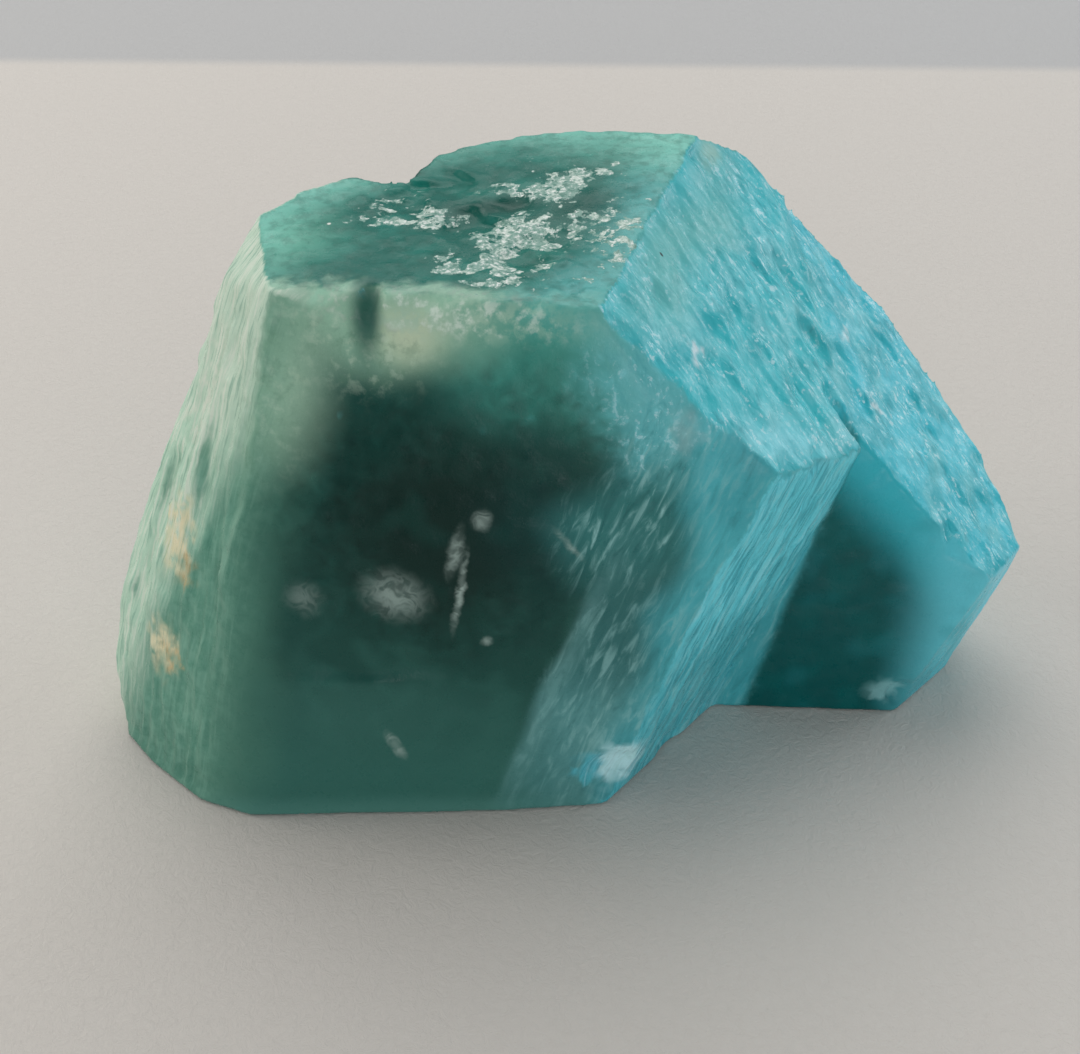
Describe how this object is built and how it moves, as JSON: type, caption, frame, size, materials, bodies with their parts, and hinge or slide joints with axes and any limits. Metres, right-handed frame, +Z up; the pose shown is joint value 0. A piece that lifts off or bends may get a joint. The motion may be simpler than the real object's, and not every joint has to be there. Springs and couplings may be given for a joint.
{
  "type": "rough amazonite",
  "caption": "Rough blue-green feldspar crystal with a smaller crystal grown into its side, resting on a flat spot.",
  "frame": {"origin": "under the middle of the specimen, on the surface it rests on", "axes": "+Z up, +X along the length from the large crystal to the small one, -Y towards the broad front face"},
  "size_m": [0.0538, 0.0274, 0.0306],
  "materials": {
    "amazonite": "waxy to glassy cleavage faces, translucent at thin edges, with fine growth ribs and cloudy white inclusions"
  },
  "bodies": {
    "root": {"amazonite": "amazonite"}
  },
  "joints": []
}
